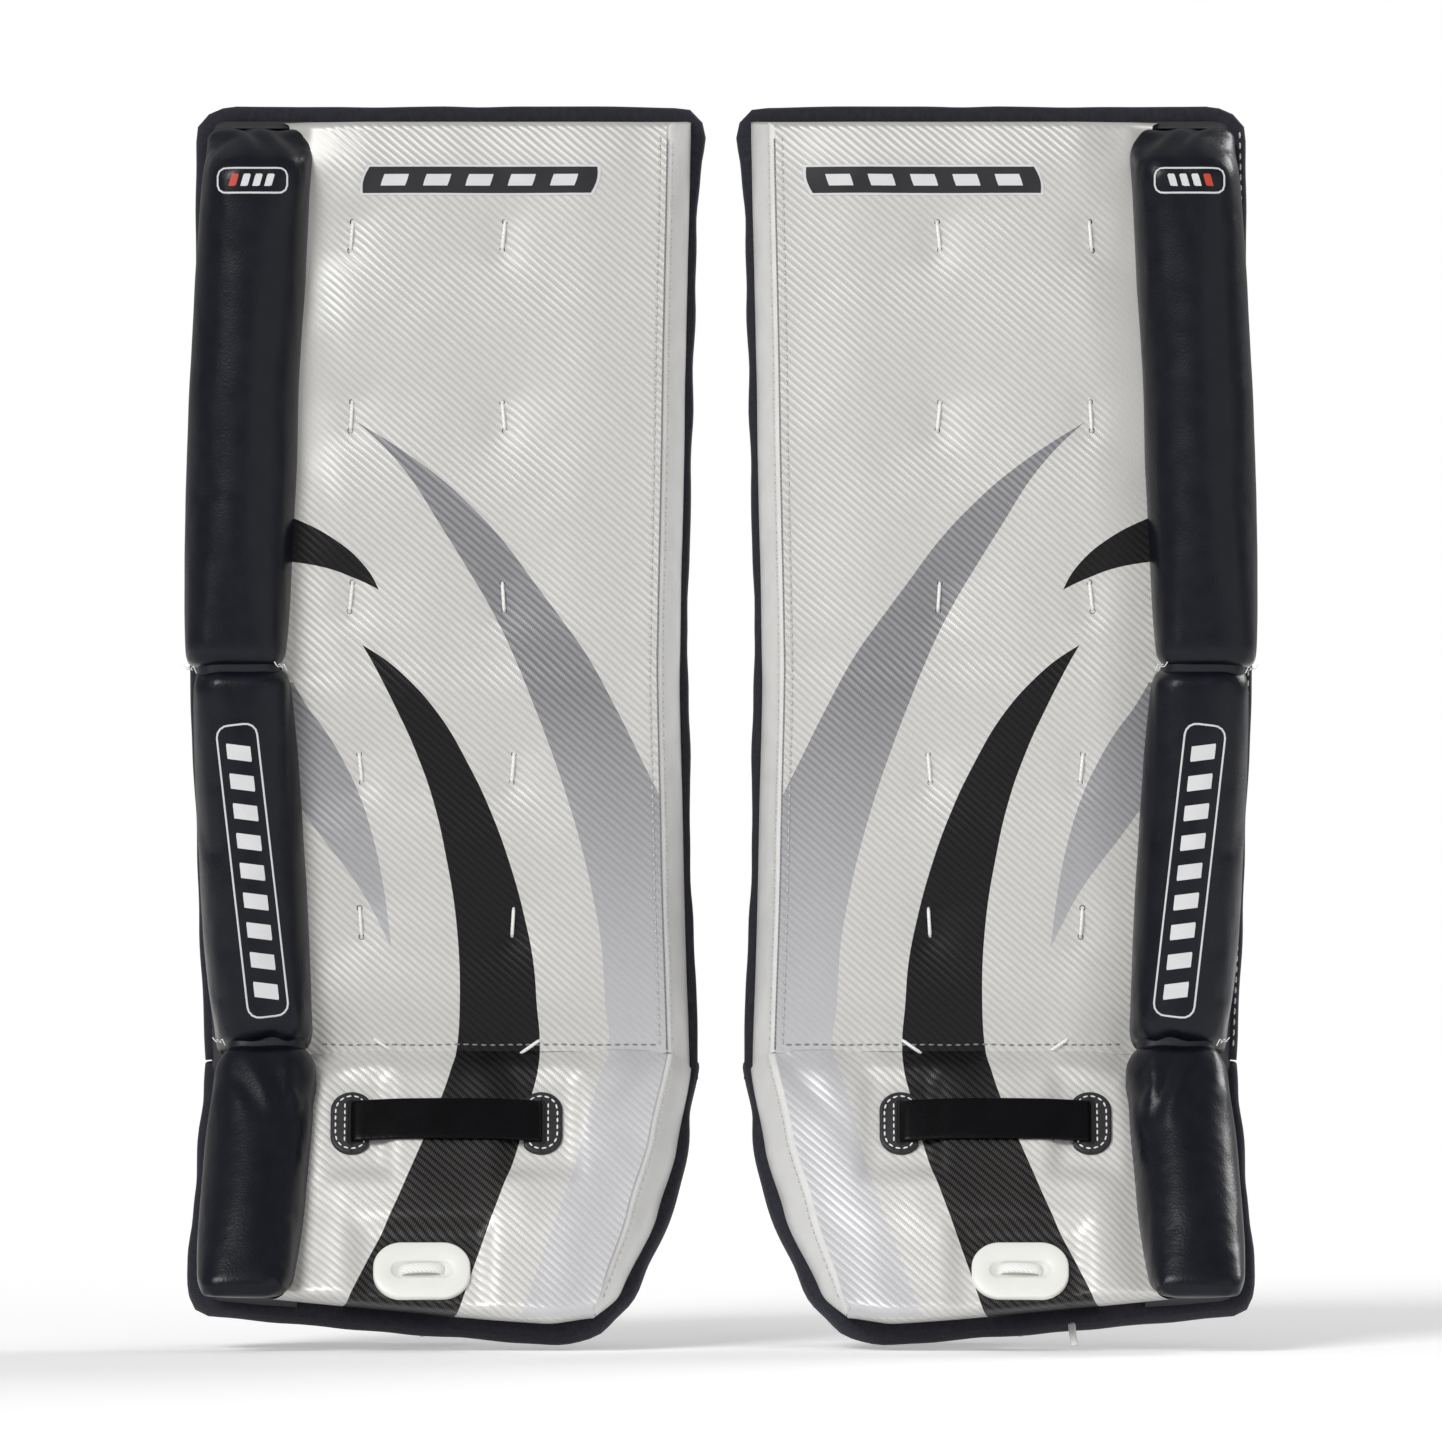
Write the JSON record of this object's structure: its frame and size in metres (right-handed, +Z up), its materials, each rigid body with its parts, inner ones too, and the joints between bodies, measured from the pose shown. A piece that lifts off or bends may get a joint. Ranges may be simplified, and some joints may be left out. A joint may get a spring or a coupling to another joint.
{
  "type": "hockey goalie leg pads",
  "caption": "Right and left hockey goalie leg pads that flex at the knee and the ankle, with padded outer rolls, calf wings with undone clips, buckled boot straps and toe plates.",
  "frame": {"origin": "middle of the right pad's leg channel, at the height of the calf", "axes": "+Z up, -Y towards the front of the pads, +X from the right pad to the left pad"},
  "size_m": [0.5562, 0.3243, 0.6416],
  "materials": {
    "foam": "closed-cell foam",
    "pearl_face": "pearl synthetic leather with an embossed twill, black and grey curved graphics",
    "roll_leather": "smooth black synthetic leather",
    "back_panel": "black nylon with bound edges",
    "white_lace": "waxed white lace",
    "knee_padding": "black nylon over foam",
    "calf_padding": "black air mesh over foam",
    "wing_padding": "black nylon over foam",
    "patch_leather": "dark leather with white stitching",
    "strap_leather": "glossy black leather",
    "buckle_steel": "nickel plated",
    "toe_plastic": "smooth white",
    "webbing": "woven nylon",
    "clip_plastic": "moulded black"
  },
  "bodies": {
    "right_shin": {"right_shin_core": "foam", "right_shin_face": "pearl_face", "right_shin_roll_cover": "roll_leather", "right_shin_roll_foam": "foam", "right_shin_back": "back_panel", "right_shin_ties": "white_lace", "right_knee_block": "knee_padding", "right_calf_cradle": "calf_padding"},
    "right_thigh": {"right_thigh_core": "foam", "right_thigh_face": "pearl_face", "right_thigh_roll_cover": "roll_leather", "right_thigh_roll_foam": "foam", "right_thigh_back": "back_panel", "right_thigh_ties": "white_lace"},
    "right_boot": {"right_boot_core": "foam", "right_boot_face": "pearl_face", "right_boot_roll_cover": "roll_leather", "right_boot_roll_foam": "foam", "right_boot_back": "back_panel", "right_strap_patches": "patch_leather", "right_boot_strap": "strap_leather", "right_buckle_frame": "buckle_steel", "right_toe_plate": "toe_plastic", "right_toe_lace": "white_lace"},
    "right_tongue": {"right_buckle_tongue": "buckle_steel"},
    "right_lateral_wing": {"right_lateral_wing": "wing_padding", "right_calf_straps": "webbing", "right_male_clips": "clip_plastic"},
    "right_medial_wing": {"right_medial_wing": "wing_padding", "right_female_clips": "clip_plastic"},
    "left_shin": {"left_shin_core": "foam", "left_shin_face": "pearl_face", "left_shin_roll_cover": "roll_leather", "left_shin_roll_foam": "foam", "left_shin_back": "back_panel", "left_shin_ties": "white_lace", "left_knee_block": "knee_padding", "left_calf_cradle": "calf_padding"},
    "left_thigh": {"left_thigh_core": "foam", "left_thigh_face": "pearl_face", "left_thigh_roll_cover": "roll_leather", "left_thigh_roll_foam": "foam", "left_thigh_back": "back_panel", "left_thigh_ties": "white_lace"},
    "left_boot": {"left_boot_core": "foam", "left_boot_face": "pearl_face", "left_boot_roll_cover": "roll_leather", "left_boot_roll_foam": "foam", "left_boot_back": "back_panel", "left_strap_patches": "patch_leather", "left_boot_strap": "strap_leather", "left_buckle_frame": "buckle_steel", "left_toe_plate": "toe_plastic", "left_toe_lace": "white_lace"},
    "left_tongue": {"left_buckle_tongue": "buckle_steel"},
    "left_lateral_wing": {"left_lateral_wing": "wing_padding", "left_calf_straps": "webbing", "left_male_clips": "clip_plastic"},
    "left_medial_wing": {"left_medial_wing": "wing_padding", "left_female_clips": "clip_plastic"}
  },
  "joints": [
    {"name": "right_knee_flex", "type": "hinge", "parent": "right_shin", "child": "right_thigh", "pos_m": [0, -0.065, 0.108], "axis": [1, 0, 0], "range_deg": [-14, 11], "stiffness_Nm_per_rad": 6},
    {"name": "right_ankle_flex", "type": "hinge", "parent": "right_shin", "child": "right_boot", "pos_m": [0, -0.065, -0.0966], "axis": [-1, 0, 0], "range_deg": [-14, 9], "stiffness_Nm_per_rad": 6},
    {"name": "right_lateral_wing_hinge", "type": "hinge", "parent": "right_shin", "child": "right_lateral_wing", "pos_m": [-0.10854, -0.038, 0], "axis": [0, 0, 1], "range_deg": [0, 60]},
    {"name": "right_medial_wing_hinge", "type": "hinge", "parent": "right_shin", "child": "right_medial_wing", "pos_m": [0.10854, -0.038, 0], "axis": [0, 0, -1], "range_deg": [0, 35]},
    {"name": "right_buckle_tongue_hinge", "type": "hinge", "parent": "right_boot", "child": "right_tongue", "pos_m": [-0.008, -0.00901, -0.19457], "axis": [0, -0.5299, -0.848], "range_deg": [0, 50]},
    {"name": "left_knee_flex", "type": "hinge", "parent": "left_shin", "child": "left_thigh", "pos_m": [0.292, -0.065, 0.108], "axis": [1, 0, 0], "range_deg": [-14, 11], "stiffness_Nm_per_rad": 6},
    {"name": "left_ankle_flex", "type": "hinge", "parent": "left_shin", "child": "left_boot", "pos_m": [0.292, -0.065, -0.0966], "axis": [-1, 0, 0], "range_deg": [-14, 9], "stiffness_Nm_per_rad": 6},
    {"name": "left_lateral_wing_hinge", "type": "hinge", "parent": "left_shin", "child": "left_lateral_wing", "pos_m": [0.40054, -0.038, 0], "axis": [0, 0, -1], "range_deg": [0, 60]},
    {"name": "left_medial_wing_hinge", "type": "hinge", "parent": "left_shin", "child": "left_medial_wing", "pos_m": [0.18346, -0.038, 0], "axis": [0, 0, 1], "range_deg": [0, 35]},
    {"name": "left_buckle_tongue_hinge", "type": "hinge", "parent": "left_boot", "child": "left_tongue", "pos_m": [0.3, -0.00901, -0.19457], "axis": [0, 0.5299, 0.848], "range_deg": [0, 50]},
    {"name": "pad_spacing", "type": "slide", "parent": "right_shin", "child": "left_shin", "axis": [1, 0, 0], "range_m": [0, 0.2]}
  ]
}
